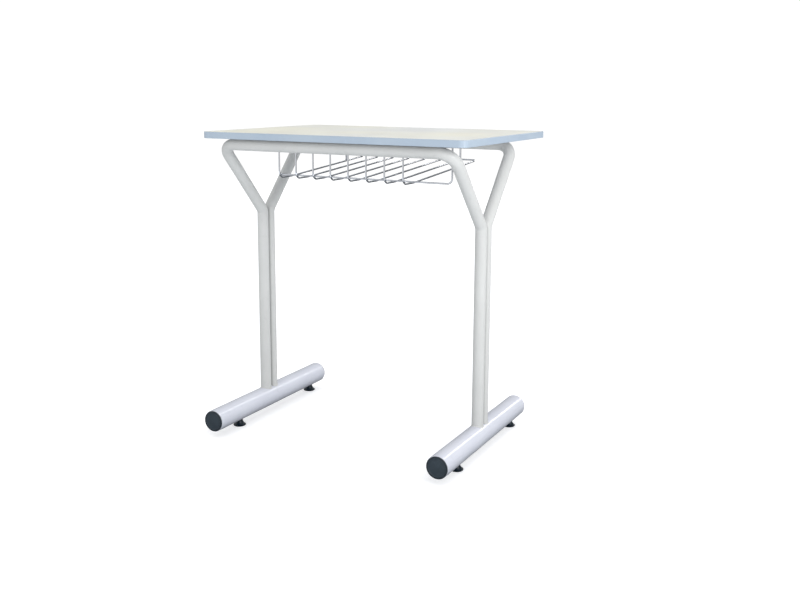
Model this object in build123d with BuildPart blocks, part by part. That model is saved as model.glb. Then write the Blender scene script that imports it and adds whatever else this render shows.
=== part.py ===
"""School desk for one pupil, with bent tube legs and a wire book basket.

Millimetres, +Z up.  The origin is on the floor, under the middle of the
desk's outline.  X runs along the top, and the pupil sits on the +Y side.
Two bent tubes, the front hoop and the back hoop, run from foot to foot under
the top.  Their uprights stand side by side, and lean apart above into a Y.
"""

import os
from math import atan2, cos, degrees, sqrt, tan

from build123d import *

os.makedirs("parts", exist_ok=True)

# Sizes of the top
top_length = 700.0
top_depth = 500.0
desk_height = 760.0
board_thickness = 16.0
laminate_thickness = 0.8
edge_band_thickness = 2.0
corner_radius = 18.0
edge_round = 1.0

# Sizes of the two hoops
tube_diameter = 28.0
tube_wall = 1.5
leg_inset = 41.0
beam_back_inset = 28.0
beam_front_inset = 120.0
fork_drop = 210.0
fork_bend_radius = 24.0
beam_bend_radius = 40.0
leg_gap = 0.2
beam_seat_gap = 0.1

# Sizes of the feet
foot_diameter = 54.0
foot_wall = 2.0
foot_length = 476.0
foot_lift = 16.0
foot_end_round = 0.8

# Sizes of the end caps
cap_head_diameter = 52.0
cap_head_thickness = 2.6
cap_head_round = 1.0
cap_dish_diameter = 42.0
cap_dish_depth = 0.8
cap_plug_length = 18.0
cap_plug_wall = 2.0
cap_fin_count = 3
cap_fin_thickness = 1.6
cap_fin_height = 1.4
cap_fit_gap = 0.15

# Sizes of the levelling glides
glide_inset_back = 105.0
glide_inset_front = 41.0
glide_base_diameter = 32.0
glide_rim_height = 2.6
glide_neck_diameter = 16.0
glide_neck_height = 1.5
glide_edge_round = 0.8
glide_foot_gap = 0.3
stud_diameter = 8.0
stud_length = 38.0
stud_seat_depth = 11.0
stud_tip_chamfer = 1.0
thread_gap = 0.3
nut_across_flats = 13.0
nut_height = 6.5

# Sizes of the wire basket
wire_diameter = 4.0
cross_wire_count = 8
cross_wire_pitch = 48.0
basket_leg_gap = 7.0
basket_back_inset = 66.0
basket_front_inset = 33.0
basket_drop = 108.0
basket_flat = 54.0
basket_rise = 26.0
basket_bend_radius = 16.0
basket_sag_radius = 160.0
end_bend_radius = 12.0
front_wire_setback = 4.0
wire_top_gap = 0.2
wire_end_margin = 3.0
hanger_diameter = 5.0

# Sizes of the sheet steel tabs
tab_thickness = 2.0
tab_width = 18.0
tab_length = 28.0
tab_round = 4.0
back_tab_count = 3
wires_between_tabs = 4
hoop_tab_width = 34.0
hoop_tab_length = 30.0
hoop_tab_thickness = 3.0
hoop_tab_spacing = 215.0
hoop_tab_count = 3

# Sizes of the screws
screw_diameter = 4.5
screw_grip = 12.0
screw_head_diameter = 9.0
screw_head_height = 2.6
screw_edge_distance = 8.0

# One overrun serves all cuts
overrun = 1.0

# Heights and places that follow from the sizes
tube_radius = tube_diameter / 2
foot_radius = foot_diameter / 2
wire_radius = wire_diameter / 2
underside = desk_height - board_thickness
beam_axis_height = underside - beam_seat_gap - tube_radius
foot_axis_height = foot_lift + foot_radius
fork_height = desk_height - fork_drop
leg_shift_back = (beam_front_inset - beam_back_inset) / 2
foot_overhang = leg_shift_back + foot_length / 2 + cap_head_thickness - top_depth / 2
top_y = max(foot_overhang, 0) / 2
leg_x = top_length / 2 - leg_inset
leg_y = top_y - leg_shift_back
upright_offset = tube_radius + leg_gap / 2
beam_offset = (top_depth - beam_back_inset - beam_front_inset) / 2
foot_back_end = leg_y - foot_length / 2
foot_front_end = leg_y + foot_length / 2
glide_places = {
    "back": foot_back_end + glide_inset_back,
    "front": foot_front_end - glide_inset_front,
}
side_places = {"left": -leg_x, "right": leg_x}
basket_low = desk_height - basket_drop
basket_back = top_y - top_depth / 2 + basket_back_inset
basket_front = top_y + top_depth / 2 - basket_front_inset
rim_wire_y = basket_back + wire_diameter
back_wire_y = rim_wire_y + wire_diameter
wire_height = underside - tab_thickness - wire_radius
rise_angle = atan2(basket_rise, basket_front - basket_back - basket_flat)
hoop_tab_places = [(i - (hoop_tab_count - 1) / 2) * hoop_tab_spacing for i in range(hoop_tab_count)]
outer_wire_x = (cross_wire_count - 1) / 2 * cross_wire_pitch
plain_end_x = outer_wire_x + wire_end_margin
turned_end_x = leg_x - tube_radius - basket_leg_gap - wire_radius
first_tab_x = cross_wire_pitch / 2 - outer_wire_x
back_tab_places = [first_tab_x + i * wires_between_tabs * cross_wire_pitch for i in range(back_tab_count)]
front_wire_y = basket_front - front_wire_setback


def floor_height(y):
    """Height of a cross wire's axis on the sloping stretch at depth y."""
    return basket_low + (y - basket_back - basket_flat) * tan(rise_angle)


front_wire_height = floor_height(front_wire_y) + wire_diameter / cos(rise_angle)
back_wire_height = (basket_low + basket_bend_radius
                    - sqrt((basket_bend_radius - wire_diameter) ** 2
                           - (basket_back + basket_bend_radius - back_wire_y) ** 2))

# Places, as X and Y, of every screw that goes up into the board
front_hoop_y = leg_y + beam_offset
back_hoop_y = leg_y - beam_offset
hoop_screw_reach = hoop_tab_length - screw_edge_distance
top_screws = [(x, back_hoop_y + hoop_screw_reach) for x in hoop_tab_places]
top_screws += [(x, front_hoop_y - hoop_screw_reach) for x in hoop_tab_places]
back_tab_screw_y = rim_wire_y - wire_radius + tab_length - screw_edge_distance
basket_screws = [(x, back_tab_screw_y) for x in back_tab_places]


def save(piece, name):
    """Label a finished piece and write its STEP file."""
    piece.part.label = name
    export_step(piece.part, f"parts/{name}.step")


def pilot_holes(depth_from, depth):
    """Cut the screws' holes through a layer of the board, from below."""
    with Locations(*[(x, y, depth_from) for x, y in top_screws + basket_screws]):
        Cylinder(screw_diameter / 2, depth, align=(Align.CENTER, Align.CENTER, Align.MIN),
                 mode=Mode.SUBTRACT)


# Top board: core, upper laminate and lower laminate inside an edge band
core_length = top_length - 2 * edge_band_thickness
core_depth = top_depth - 2 * edge_band_thickness
core_corner = corner_radius - edge_band_thickness
core_bottom = underside + laminate_thickness
core_thickness = board_thickness - 2 * laminate_thickness
pilot_depth = screw_grip - laminate_thickness

with BuildPart() as top_core:
    with BuildSketch(Plane((0, top_y, core_bottom))):
        RectangleRounded(core_length, core_depth, core_corner)
    extrude(amount=core_thickness)
    pilot_holes(core_bottom, pilot_depth)
save(top_core, "top_core")

with BuildPart() as top_laminate:
    with BuildSketch(Plane((0, top_y, desk_height - laminate_thickness))):
        RectangleRounded(core_length, core_depth, core_corner)
    extrude(amount=laminate_thickness)
save(top_laminate, "top_laminate")

with BuildPart() as underside_laminate:
    with BuildSketch(Plane((0, top_y, underside))):
        RectangleRounded(core_length, core_depth, core_corner)
    extrude(amount=laminate_thickness)
    pilot_holes(underside, laminate_thickness)
save(underside_laminate, "underside_laminate")

with BuildPart() as edge_band:
    with BuildSketch(Plane((0, top_y, underside))):
        RectangleRounded(top_length, top_depth, corner_radius)
        RectangleRounded(core_length, core_depth, core_corner, mode=Mode.SUBTRACT)
    extrude(amount=board_thickness)
    outer_rims = edge_band.faces().filter_by(Axis.Z).sort_by(Axis.Z)
    rim_edges = [face.outer_wire().edges() for face in (outer_rims[0], outer_rims[-1])]
    fillet(rim_edges[0] + rim_edges[1], edge_round)
save(edge_band, "edge_band")


# Hoops: one bent tube each, coped at both ends to sit on the feet
def make_hoop(direction):
    """Bend the hoop that leans towards direction, +1 for the pupil's side."""
    upright_y = leg_y + direction * upright_offset
    beam_y = leg_y + direction * beam_offset
    left_half = [
        (-leg_x, upright_y, foot_axis_height),
        (-leg_x, upright_y, fork_height),
        (-leg_x, beam_y, beam_axis_height),
    ]
    right_half = [(-x, y, z) for x, y, z in reversed(left_half)]
    bends = [fork_bend_radius, beam_bend_radius, beam_bend_radius, fork_bend_radius]
    with BuildPart() as hoop:
        with BuildLine() as path:
            FilletPolyline(*left_half, *right_half, radius=bends)
        with BuildSketch(Plane(origin=path.line @ 0, z_dir=path.line % 0)):
            Circle(tube_radius)
            Circle(tube_radius - tube_wall, mode=Mode.SUBTRACT)
        sweep()
        with Locations(*[(x, leg_y, foot_axis_height) for x in side_places.values()]):
            Cylinder(foot_radius, foot_length, rotation=(90, 0, 0), mode=Mode.SUBTRACT)
    return hoop


save(make_hoop(-1), "back_hoop")
save(make_hoop(+1), "front_hoop")


# Fixing tabs: coped plates on the inner flank of each beam, under the board
def make_hoop_tabs(direction):
    """Cut the tabs of the hoop on the side of direction."""
    beam_y = leg_y + direction * beam_offset
    tab_middle = beam_y - direction * hoop_tab_length / 2
    with BuildPart() as tabs:
        with BuildSketch(Plane.XY.offset(underside - hoop_tab_thickness)):
            with Locations(*[(x, tab_middle) for x in hoop_tab_places]):
                RectangleRounded(hoop_tab_width, hoop_tab_length, tab_round)
        extrude(amount=hoop_tab_thickness)
        with Locations((0, beam_y, beam_axis_height)):
            Cylinder(tube_radius, top_length, rotation=(0, 90, 0), mode=Mode.SUBTRACT)
        with Locations((0, beam_y + direction * hoop_tab_length / 2, underside)):
            Box(top_length, hoop_tab_length, 2 * (hoop_tab_thickness + overrun), mode=Mode.SUBTRACT)
        with Locations(*[(x, y, underside) for x, y in top_screws]):
            Cylinder(screw_diameter / 2, 2 * (hoop_tab_thickness + overrun), mode=Mode.SUBTRACT)
    return tabs


save(make_hoop_tabs(-1), "back_hoop_tabs")
save(make_hoop_tabs(+1), "front_hoop_tabs")

# Feet: a thick round tube under each pair of uprights, drilled for the glides
for side, x in side_places.items():
    foot_plane = Plane(origin=(x, foot_back_end, foot_axis_height), z_dir=(0, 1, 0))
    with BuildPart() as foot:
        with BuildSketch(foot_plane):
            Circle(foot_radius)
            Circle(foot_radius - foot_wall, mode=Mode.SUBTRACT)
        extrude(amount=foot_length)
        end_rims = [edge for edge in foot.edges().filter_by(GeomType.CIRCLE)
                    if edge.radius > foot_radius - foot_wall / 2]
        fillet(end_rims, foot_end_round)
        with Locations(*[(x, y, foot_lift) for y in glide_places.values()]):
            Cylinder(stud_diameter / 2 + thread_gap, 2 * (foot_wall + overrun), mode=Mode.SUBTRACT)
    save(foot, f"{side}_foot")


# End caps: a dished head over the tube's mouth and a finned plug inside it
def cap_outline():
    """Half section of a cap; x is the distance from its axis, y points out."""
    head = cap_head_diameter / 2
    dish = cap_dish_diameter / 2
    fin = foot_radius - foot_wall - cap_fit_gap
    core = fin - cap_fin_height
    fin_pitch = (cap_plug_length - cap_fin_thickness) / cap_fin_count
    points = [(0, cap_head_thickness - cap_dish_depth),
              (dish - cap_dish_depth, cap_head_thickness - cap_dish_depth),
              (dish, cap_head_thickness),
              (head, cap_head_thickness),
              (head, 0)]
    for i in range(cap_fin_count):
        fin_start = -cap_fin_thickness - i * fin_pitch
        points += [(core, 0 if i == 0 else fin_start + cap_fin_thickness),
                   (core, fin_start), (fin, fin_start),
                   (core, fin_start - cap_fin_thickness)]
    inner = core - cap_plug_wall
    points += [(core, -cap_plug_length), (inner, -cap_plug_length),
               (inner, -cap_head_thickness), (0, -cap_head_thickness)]
    return points


for side, x in side_places.items():
    for end, y, outward in (("back", foot_back_end, -1), ("front", foot_front_end, 1)):
        cap_plane = Plane(origin=(x, y, foot_axis_height), x_dir=(1, 0, 0), z_dir=(0, 0, outward))
        with BuildPart() as cap:
            with BuildSketch(cap_plane):
                with BuildLine():
                    Polyline(*cap_outline(), close=True)
                make_face()
            revolve(axis=Axis((x, y, foot_axis_height), (0, 1, 0)))
            head_rims = [edge for edge in cap.edges().filter_by(GeomType.CIRCLE)
                         if edge.radius > cap_head_diameter / 2 - cap_head_round / 2]
            outer_rim = sorted(head_rims, key=lambda edge: outward * edge.center().Y)[-1]
            fillet(outer_rim, cap_head_round)
        save(cap, f"{side}_{end}_cap")

# Glides: a flared base moulded on a threaded stud, and a nut inside the foot
glide_top = foot_lift - glide_foot_gap
base_radius = glide_base_diameter / 2
neck_radius = glide_neck_diameter / 2
flare_rise = glide_top - glide_neck_height - glide_rim_height
flare_foot_direction = (-1, 0.6)
flare_top_direction = (-0.2, 1)
nut_seat = foot_axis_height - sqrt((foot_radius - foot_wall) ** 2
                                   - (nut_across_flats / sqrt(3)) ** 2)

for side, x in side_places.items():
    for end, y in glide_places.items():
        glide_plane = Plane(origin=(x, y, 0), x_dir=(1, 0, 0), z_dir=(0, -1, 0))
        stud_foot = glide_top - stud_seat_depth
        with BuildPart() as glide_base:
            with BuildSketch(glide_plane):
                with BuildLine():
                    rim_top = (base_radius, glide_rim_height)
                    flare_top = (neck_radius, glide_rim_height + flare_rise)
                    Polyline((0, 0), (base_radius - glide_edge_round, 0),
                             (base_radius, glide_edge_round), rim_top)
                    Spline(rim_top, flare_top, tangents=[flare_foot_direction, flare_top_direction])
                    Polyline(flare_top, (neck_radius, glide_top), (0, glide_top), (0, 0))
                make_face()
            revolve(axis=Axis((x, y, 0), (0, 0, 1)))
            with Locations((x, y, stud_foot)):
                Cylinder(stud_diameter / 2, glide_top, align=(Align.CENTER, Align.CENTER, Align.MIN),
                         mode=Mode.SUBTRACT)
        save(glide_base, f"{side}_{end}_glide_base")

        with BuildPart() as glide_stud:
            with BuildSketch(Plane(origin=(x, y, stud_foot))):
                Circle(stud_diameter / 2)
            extrude(amount=stud_length)
            chamfer(glide_stud.faces().sort_by(Axis.Z)[-1].edges(), stud_tip_chamfer)
        save(glide_stud, f"{side}_{end}_glide_stud")

        with BuildPart() as glide_nut:
            with BuildSketch(Plane(origin=(x, y, nut_seat))):
                RegularPolygon(nut_across_flats / 2, 6, major_radius=False)
                Circle(stud_diameter / 2 + thread_gap, mode=Mode.SUBTRACT)
            extrude(amount=nut_height)
        save(glide_nut, f"{side}_{end}_glide_nut")


# Wire basket
def bend_wire(points, bends):
    """Bend one round wire along points, with a radius at each inner point."""
    with BuildPart() as wire:
        with BuildLine() as path:
            FilletPolyline(*points, radius=bends)
        with BuildSketch(Plane(origin=path.line @ 0, z_dir=path.line % 0)):
            Circle(wire_radius)
        sweep()
    return wire


# Cross wires: a riser at the back, then a floor that climbs to the open side
riser_top = underside - tab_thickness - wire_top_gap
for number in range(1, cross_wire_count + 1):
    x = (number - (cross_wire_count + 1) / 2) * cross_wire_pitch
    cross_points = [
        (x, basket_back, riser_top),
        (x, basket_back, basket_low),
        (x, basket_back + basket_flat, basket_low),
        (x, basket_front, floor_height(basket_front)),
    ]
    save(bend_wire(cross_points, [basket_bend_radius, basket_sag_radius]), f"basket_cross_wire_{number}")

# Long wire in the back bend: plain at its left end, turned up at its right end
long_points = [
    (-plain_end_x, back_wire_y, back_wire_height),
    (turned_end_x, back_wire_y, back_wire_height),
    (turned_end_x, back_wire_y, riser_top),
]
save(bend_wire(long_points, [end_bend_radius]), "basket_back_wire")


def cut_wire(left_end, right_end, y, height):
    """Cut a straight round wire that runs along X."""
    with BuildPart() as wire:
        with BuildSketch(Plane(origin=(left_end, y, height), z_dir=(1, 0, 0))):
            Circle(wire_radius)
        extrude(amount=right_end - left_end)
    return wire


# Straight wires: the rim wire behind the back beam, and the one along the open side
save(cut_wire(-plain_end_x, turned_end_x, rim_wire_y, wire_height), "basket_rim_wire")
save(cut_wire(-plain_end_x, plain_end_x, front_wire_y, front_wire_height), "basket_front_wire")

# Front hangers: short bars from the front beam down astride the outermost cross wires
hanger_places = [(side * outer_wire_x, front_hoop_y) for side in (-1, 1)]
hanger_foot = floor_height(front_hoop_y) + wire_radius / 2

with BuildPart() as basket_front_hangers:
    with BuildSketch(Plane.XY.offset(hanger_foot)):
        with Locations(*hanger_places):
            Circle(hanger_diameter / 2)
    extrude(amount=beam_axis_height - hanger_foot)
    with Locations((0, front_hoop_y, beam_axis_height)):
        Cylinder(tube_radius, top_length, rotation=(0, 90, 0), mode=Mode.SUBTRACT)
    with Locations(*[(x, y, floor_height(y)) for x, y in hanger_places]):
        Cylinder(wire_radius, 4 * hanger_diameter, rotation=(degrees(rise_angle) - 90, 0, 0),
                 mode=Mode.SUBTRACT)
save(basket_front_hangers, "basket_front_hangers")

# Basket tabs: flat plates welded on the rim wire and screwed up into the board
with BuildPart() as basket_back_tabs:
    with BuildSketch(Plane.XY.offset(underside - tab_thickness)):
        with Locations(*[(x, rim_wire_y - wire_radius + tab_length / 2) for x in back_tab_places]):
            RectangleRounded(tab_width, tab_length, tab_round)
        with Locations(*basket_screws):
            Circle(screw_diameter / 2, mode=Mode.SUBTRACT)
    extrude(amount=tab_thickness)
save(basket_back_tabs, "basket_back_tabs")


# Screws: a pan head under the tab and a shank up into the core
def make_screws(places, plate):
    """Turn a pan-head screw at each place, under a plate of that thickness."""
    with BuildPart() as screws:
        with BuildSketch(Plane.XY.offset(underside - plate - screw_head_height)):
            with Locations(*places):
                Circle(screw_head_diameter / 2)
        extrude(amount=screw_head_height)
        lower_edges = screws.faces().filter_by(Axis.Z).group_by(Axis.Z)[0].edges()
        fillet(lower_edges, screw_head_height / 2)
        with BuildSketch(Plane.XY.offset(underside - plate)):
            with Locations(*places):
                Circle(screw_diameter / 2)
        extrude(amount=plate + screw_grip)
    return screws


save(make_screws(top_screws, hoop_tab_thickness), "top_screws")
save(make_screws(basket_screws, tab_thickness), "basket_screws")
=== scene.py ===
"""School desk: finishes, welds, screws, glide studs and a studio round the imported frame.

Metres, in the frame's own axes: the floor is at Z 0, X runs along the top and
the pupil sits on the +Y side.  Each operator makes one piece or one group.
"""
from math import cos, pi, radians, sin, sqrt

import bmesh
import bpy
from mathutils import Matrix, Vector


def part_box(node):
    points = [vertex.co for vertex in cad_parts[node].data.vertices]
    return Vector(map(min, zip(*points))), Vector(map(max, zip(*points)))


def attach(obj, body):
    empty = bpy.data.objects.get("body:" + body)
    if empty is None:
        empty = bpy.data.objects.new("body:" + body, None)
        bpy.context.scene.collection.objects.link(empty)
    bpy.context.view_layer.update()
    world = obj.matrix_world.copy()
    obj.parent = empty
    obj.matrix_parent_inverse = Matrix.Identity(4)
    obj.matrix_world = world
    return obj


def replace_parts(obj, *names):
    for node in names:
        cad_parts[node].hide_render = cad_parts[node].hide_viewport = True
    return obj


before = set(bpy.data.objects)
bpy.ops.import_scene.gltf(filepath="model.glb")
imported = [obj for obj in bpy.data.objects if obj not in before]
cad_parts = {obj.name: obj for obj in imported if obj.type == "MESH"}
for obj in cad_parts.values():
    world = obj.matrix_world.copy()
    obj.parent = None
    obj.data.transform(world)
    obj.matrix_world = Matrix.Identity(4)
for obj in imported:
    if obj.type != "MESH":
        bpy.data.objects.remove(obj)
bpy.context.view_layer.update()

bl_info = {
    "name": "School Desk",
    "version": (1, 0, 0),
    "blender": (4, 5, 0),
    "location": "3D View > Sidebar > School Desk",
    "description": "Finishes, welds, screws, glide studs and a studio for the packed school desk",
    "category": "Object",
}

MM = 0.001


def middle_of(node):
    """Middle of a CAD node's box."""
    return [(low + high) / 2 for low, high in zip(*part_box(node))]


# Sizes of the CAD source
TUBE_RADIUS = 14 * MM
WIRE_RADIUS = 2 * MM
WIRE_BEND = 16 * MM
HANGER_RADIUS = 2.5 * MM
HOOP_TAB_HALF = 17 * MM
BOARD_CORNER = 18 * MM
CAP_DISH_RADIUS = 21 * MM
FORK_Z = 541 * MM

# Places read from the frame; -1 is the back and 1 the front
FOOT_LOW, FOOT_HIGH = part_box("right_foot")
FOOT_RADIUS = (FOOT_HIGH.x - FOOT_LOW.x) / 2
LEG_X, _, FOOT_Z = middle_of("right_foot")
BACK_LOW, BACK_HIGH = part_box("back_hoop")
FRONT_LOW, FRONT_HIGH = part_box("front_hoop")
UPRIGHT_Y = {-1: BACK_HIGH.y - TUBE_RADIUS, 1: FRONT_LOW.y + TUBE_RADIUS}
LEG_Y = (UPRIGHT_Y[-1] + UPRIGHT_Y[1]) / 2
BEAM_Y = {-1: BACK_LOW.y + TUBE_RADIUS, 1: FRONT_HIGH.y - TUBE_RADIUS}
BEAM_Z = BACK_HIGH.z - TUBE_RADIUS
TOP_LOW, TOP_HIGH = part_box("edge_band")
CORNERS = [f"{side}_{end}" for side in ("left", "right") for end in ("back", "front")]
GLIDES = [f"{corner}_glide" for corner in CORNERS]
CAPS = [f"{corner}_cap" for corner in CORNERS]
CROSS_WIRES = sorted(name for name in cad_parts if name.startswith("basket_cross_wire"))

# Painted shade in the groove between two uprights, where the tubes shade each other: full up to the first
# distance from the middle, gone at the second
GROOVE_SHADE_REACH = (2.4 * MM, 5.4 * MM)

# Weld bead round an upright: how far it goes to each side, and its steps
SADDLE_OPENING = radians(146)
SADDLE_STEPS = 72

# Screw: shank left under the pan head, and the distance within which points belong to one screw
SHANK_RADIUS = 2.25 * MM
SHANK_LENGTH = 3 * MM
SCREW_REACH = 15 * MM

# Brightness of the floor's own glow and of the backdrop, both as the camera sees them
FLOOR_GLOW = 0.38
BACKDROP = 1.05

# Floor: where it turns dark to gloss, and where the mat under a foot fades, across and along the foot
DARK_FLOOR = (-0.60, -0.30)
MAT_ACROSS = (0.06, 0.22)
MAT_ALONG = (0.28, 0.45)

# Soft lights: name, place, target, two sides, spread in degrees, and the setting that holds the power
LIGHTS = (
    ("key_softbox", (2.30, -1.15, 1.35), (0.1, 0.0, 0.62), (0.6, 0.9), 90.0, "key_power"),
    ("strip_softbox", (1.64, 5.4, 3.2), (0.0, 0.0, 0.1), (0.7, 4.2), 180.0, "strip_power"),
    ("top_softbox", (0.5, -0.6, 2.6), (0.0, 0.0, 0.3), (1.6, 1.6), 180.0, "top_power"),
)


def screen_colour(red, green, blue):
    """Linear colour, with full alpha, of a colour given as 0 to 255 on a screen."""
    def linear(value):
        share = value / 255
        return share / 12.92 if share <= 0.04045 else ((share + 0.055) / 1.055) ** 2.4
    return (linear(red), linear(green), linear(blue), 1.0)


def colour_property(name, description, default):
    """A colour that a user may change."""
    return bpy.props.FloatVectorProperty(name=name, description=description, default=default,
                                         size=4, min=0.0, max=1.0, subtype="COLOR")


def number_property(name, description, default, **options):
    """A number that a user may change."""
    return bpy.props.FloatProperty(name=name, description=description, default=default, **options)


def length_property(name, description, default):
    """A length in metres that a user may change."""
    return number_property(name, description, default, min=0.0, precision=5, unit="LENGTH")


def share_property(name, description, default, most=1.0):
    """A share from 0 up to most that a user may change."""
    return number_property(name, description, default, min=0.0, max=most, subtype="FACTOR")


def angle_property(name, description, degrees):
    """An angle that a user may change."""
    return number_property(name, description, radians(degrees), subtype="ANGLE", unit="ROTATION")


class BoardFinish(bpy.types.PropertyGroup):
    """Colours and grain of the laminate top and its edge band."""

    laminate: colour_property("Laminate", "Cream writing surface", screen_colour(226, 229, 232))
    laminate_shade: colour_property("Laminate shade", "Slight yellow cast in the cream",
                                    screen_colour(236, 235, 221))
    edge: colour_property("Edge band", "Light blue plastic edge", screen_colour(166, 180, 194))
    edge_shade: colour_property("Edge band shade", "Deeper blue in the edge", screen_colour(160, 175, 191))
    backing: colour_property("Backing", "Grey sheet under the board", screen_colour(198, 199, 201))
    stipple: length_property("Stipple depth", "Depth of the pressed texture of the laminate", 0.03 * MM)


class SteelFinish(bpy.types.PropertyGroup):
    """Paint and plating of the steel."""

    hoop: colour_property("Hoops", "Light grey powder coat", screen_colour(196, 197, 196))
    hoop_shade: colour_property("Hoop shade", "Slightly darker patches", screen_colour(192, 193, 192))
    foot: colour_property("Feet", "White powder coat with a lavender cast", screen_colour(204, 207, 217))
    foot_shade: colour_property("Foot shade", "Slightly darker patches", screen_colour(200, 203, 214))
    peel: length_property("Peel depth", "Depth of the paint's orange peel", 0.04 * MM)
    chrome: colour_property("Chrome", "Plated basket wire", screen_colour(210, 212, 217))
    zinc: colour_property("Zinc", "Plated screws, studs and nuts", screen_colour(204, 206, 208))


class PlasticFinish(bpy.types.PropertyGroup):
    """Colours of the moulded plastic."""

    cap: colour_property("Caps", "Dark slate plastic", screen_colour(43, 54, 63))
    glide: colour_property("Glides", "Black plastic with a blue sheen", screen_colour(8, 26, 38))
    grain: length_property("Grain depth", "Depth of the mould's fine texture", 0.02 * MM)


class WeldSizes(bpy.types.PropertyGroup):
    """Sizes of the weld beads and of the spot welds."""

    bead_radius: length_property("Bead radius", "Half the width of a weld bead", 1.6 * MM)
    ripple_pitch: length_property("Ripple pitch", "Distance between two ripples", 1.9 * MM)
    ripple_depth: share_property("Ripple depth", "Depth of the ripples as a share of the radius", 0.05, 0.5)
    nugget_radius: length_property("Spot weld radius", "Half the width of a wire's spot weld", 2.3 * MM)
    nugget_height: length_property("Spot weld height", "Half the thickness of a spot weld", 1.2 * MM)


class FasteningSizes(bpy.types.PropertyGroup):
    """Sizes of the screws and of the glides' studs."""

    head_diameter: length_property("Head diameter", "Across the pan head", 9.0 * MM)
    head_height: length_property("Head height", "Thickness of the pan head", 2.6 * MM)
    recess_length: length_property("Recess length", "Across the cross recess", 4.6 * MM)
    recess_width: length_property("Recess width", "Width of one slot of the recess", 1.1 * MM)
    recess_depth: length_property("Recess depth", "Depth of the recess", 1.7 * MM)
    thread_pitch: length_property("Thread pitch", "Travel of the glide for each turn", 1.25 * MM)
    thread_depth: length_property("Thread depth", "Height of the thread on the stud", 0.72 * MM)


class StageSettings(bpy.types.PropertyGroup):
    """Floor, lights and camera of the studio."""

    floor: colour_property("Floor", "Pale floor", screen_colour(228, 229, 231))
    floor_size: length_property("Floor size", "Length of the floor's sides", 12.0)
    camera: bpy.props.FloatVectorProperty(
        name="Camera", description="Place of the camera", default=(1.1563, -2.0649, 0.8734),
        size=3, unit="LENGTH", subtype="TRANSLATION")
    heading: angle_property("Heading", "Turn of the camera to the left", 27.645)
    tilt: angle_property("Tilt", "Camera looks down by this angle", 9.821)
    roll: angle_property("Roll", "Turn of the camera about its view", 0.315)
    lens: number_property("Lens", "Focal length in millimetres", 42.884, min=1.0, unit="CAMERA")
    rise: number_property("Rise", "Vertical shift of the lens", -0.0625, min=-1.0, max=1.0)
    key_power: number_property("Key light", "Power of the soft light at the right", 7.6,
                               min=0.0, unit="POWER")
    top_power: number_property("Top light", "Power of the soft light above", 1.0, min=0.0, unit="POWER")
    horizon: number_property("Horizon", "Brightness of the surround at eye height", 0.90, min=0.0)
    zenith: number_property("Zenith", "Brightness of the surround overhead", 1.08, min=0.0)
    wall: share_property("Wall", "Share of the surround that gloss shows on the far side", 0.25)
    strip_power: number_property("Strip light", "Power of the long light on the far side", 58.0,
                                 min=0.0, unit="POWER")
    bounce: share_property("Bounce", "Share of the light that the floor throws back", 1.00)
    mat: share_property("Mat", "Darkness of the mat under each foot", 0.9)
    mirror: share_property("Mirror", "Brightness of the far floor as gloss shows it", 0.10)


class SchoolDeskSettings(bpy.types.PropertyGroup):
    """Everything that a user would change on the desk."""

    board: bpy.props.PointerProperty(type=BoardFinish, name="Board", description="Finish of the top")
    steel: bpy.props.PointerProperty(type=SteelFinish, name="Steel", description="Finish of the steel")
    plastic: bpy.props.PointerProperty(type=PlasticFinish, name="Plastic",
                                       description="Finish of the plastic")
    weld: bpy.props.PointerProperty(type=WeldSizes, name="Welds", description="Sizes of the welds")
    fastening: bpy.props.PointerProperty(type=FasteningSizes, name="Fastenings",
                                         description="Sizes of screws and studs")
    stage: bpy.props.PointerProperty(type=StageSettings, name="Stage",
                                     description="Floor, lights and camera")


# Nodes for materials and geometry
def add_node(tree, kind, inputs=None, **options):
    """Add a node, set its options, and give each input a value or a link."""
    made = tree.nodes.new(kind)
    for option, value in options.items():
        setattr(made, option, value)
    for key, value in (inputs or {}).items():
        if isinstance(value, bpy.types.NodeSocket):
            tree.links.new(value, made.inputs[key])
        else:
            made.inputs[key].default_value = value
    return made


def calculate(tree, operation, first, second=0.0, third=0.0):
    """One step of arithmetic."""
    return add_node(tree, "ShaderNodeMath", {0: first, 1: second, 2: third}, operation=operation).outputs[0]


def distance_from(tree, value, middle):
    """How far value is from middle, on either side of it."""
    return calculate(tree, "ABSOLUTE", calculate(tree, "SUBTRACT", value, middle))


def diagonal(tree, across, along):
    """Length of the diagonal over two sides."""
    return calculate(tree, "SQRT", calculate(tree, "ADD", calculate(tree, "POWER", across, 2.0),
                                             calculate(tree, "POWER", along, 2.0)))


def axes_of(tree, place):
    """X, Y and Z of each place."""
    return add_node(tree, "ShaderNodeSeparateXYZ", {"Vector": place}).outputs


def start_material(name, colour, roughness, metallic=0.0, specular=0.5, coat=0.0):
    """Start a material; the numbers that are the same all over stand on its shader."""
    material = bpy.data.materials.new(name)
    material.use_nodes = True
    material.diffuse_color = colour
    tree = material.node_tree
    shader = tree.nodes["Principled BSDF"]
    for socket, value in (("Base Color", colour), ("Roughness", roughness), ("Metallic", metallic),
                          ("Specular IOR Level", specular), ("Coat Weight", coat), ("Coat Roughness", 0.08)):
        shader.inputs[socket].default_value = value
    place = add_node(tree, "ShaderNodeTexCoord").outputs["Object"]
    return material, tree, shader, place


def noise(tree, place, scale, detail=2.0, stretch=None):
    """Noise with scale lumps to the metre, stretched along the axes if asked."""
    if stretch:
        place = add_node(tree, "ShaderNodeMapping", {"Vector": place, "Scale": stretch}).outputs[0]
    return add_node(tree, "ShaderNodeTexNoise",
                    {"Vector": place, "Scale": scale, "Detail": detail}).outputs[0]


def spread(tree, value, low, high, start=0.35, end=0.65):
    """Carry a value from the range start to end over to the range low to high."""
    return add_node(tree, "ShaderNodeMapRange", {"Value": value, "From Min": start, "From Max": end,
                                                 "To Min": low, "To Max": high}).outputs[0]


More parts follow.
